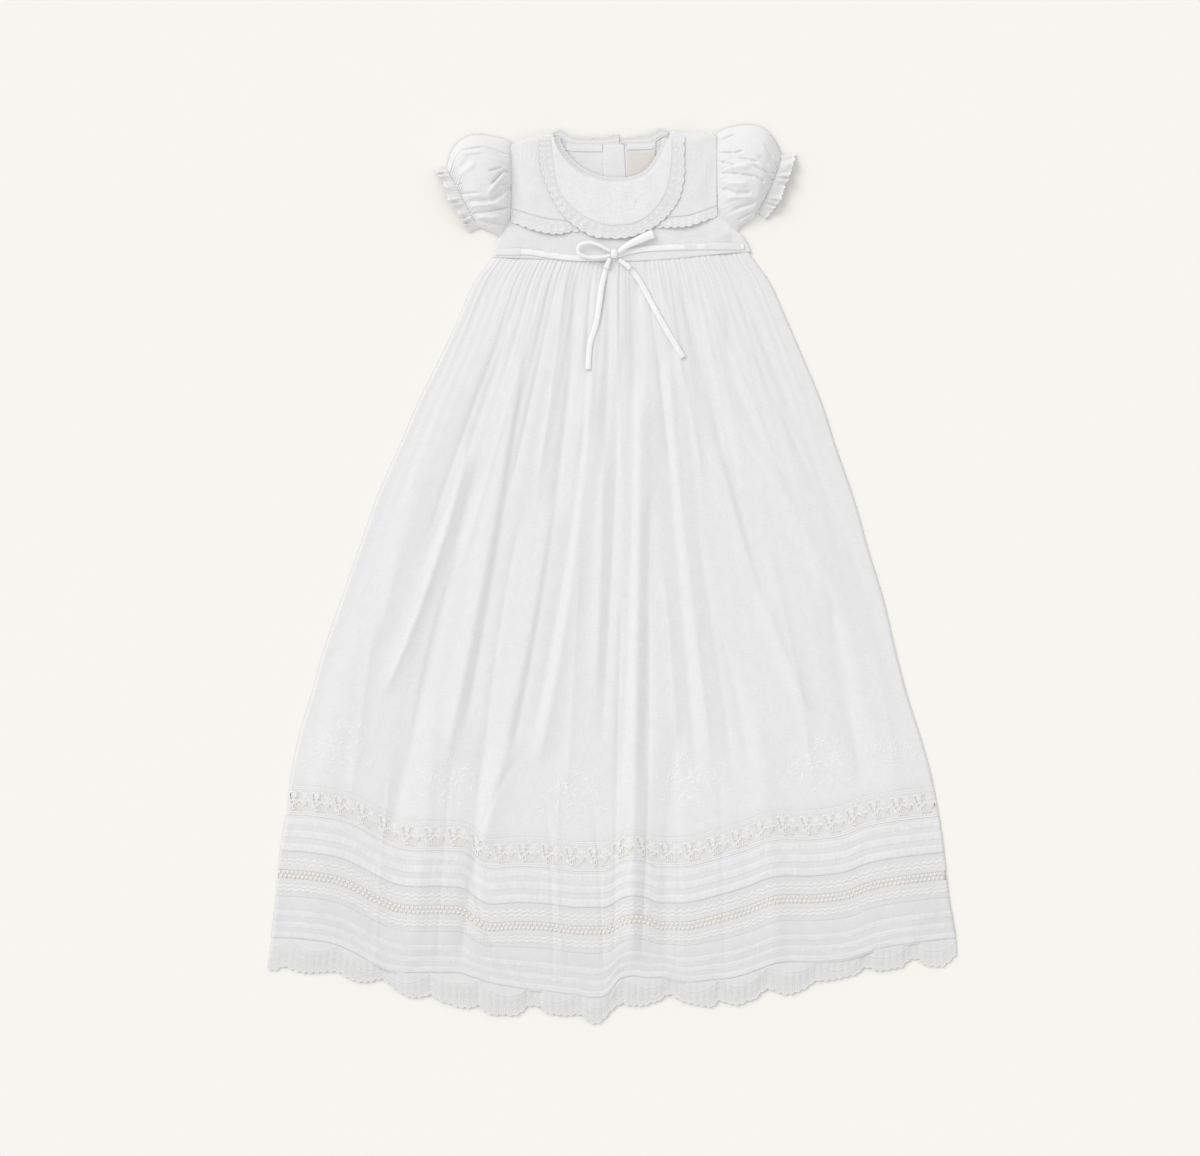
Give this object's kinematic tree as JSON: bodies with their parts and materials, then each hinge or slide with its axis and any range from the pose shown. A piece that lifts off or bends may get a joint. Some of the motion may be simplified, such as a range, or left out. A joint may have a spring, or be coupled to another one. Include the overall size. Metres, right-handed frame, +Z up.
{
  "type": "christening gown",
  "caption": "White baby's christening gown laid flat: gathered skirt with lace and tuck bands, puff sleeves, lace collars, ribbon bow.",
  "frame": {"origin": "on the surface that the gown lies on, under the middle of its outline", "axes": "+Y towards the neck, along the gown's length; +Z up from the surface, out of the gown's front; +X to the right as seen from above"},
  "size_m": [0.6341, 0.8236, 0.0252],
  "materials": {
    "lawn": "fine plain-woven white cotton lawn, matte with a slight sheen, faintly creased",
    "lace": "white cotton lace, open net with raised threads and scalloped edges",
    "satin_ribbon": "narrow double-faced white satin ribbon, bright sheen across its length",
    "label": "blank cream woven neck label"
  },
  "bodies": {
    "root": {"skirt_front": "lawn", "skirt_back": "lawn", "tuck_band_upper_front": "lawn", "tuck_band_upper_back": "lawn", "tuck_band_lower_front": "lawn", "tuck_band_lower_back": "lawn", "bodice_front": "lawn", "bodice_back_left": "lawn", "bodice_back_right": "lawn", "cape_collar": "lawn", "round_collar": "lawn", "neck_facing_left": "lawn", "neck_facing_right": "lawn", "placket": "lawn", "sleeve_left": "lawn", "sleeve_right": "lawn", "insertion_lace_front": "lace", "insertion_lace_back": "lace", "beading_lace_front": "lace", "beading_lace_back": "lace", "hem_lace_front": "lace", "hem_lace_back": "lace", "cape_lace": "lace", "round_collar_lace": "lace", "neck_lace_front": "lace", "neck_lace_back_left": "lace", "neck_lace_back_right": "lace", "cuff_frill_left": "lawn", "cuff_frill_right": "lawn", "waist_ribbon": "satin_ribbon", "bow_knot": "satin_ribbon", "bow_loop_left": "satin_ribbon", "bow_loop_right": "satin_ribbon", "bow_tail_left": "satin_ribbon", "bow_tail_right": "satin_ribbon", "neck_label": "label"}
  },
  "joints": []
}
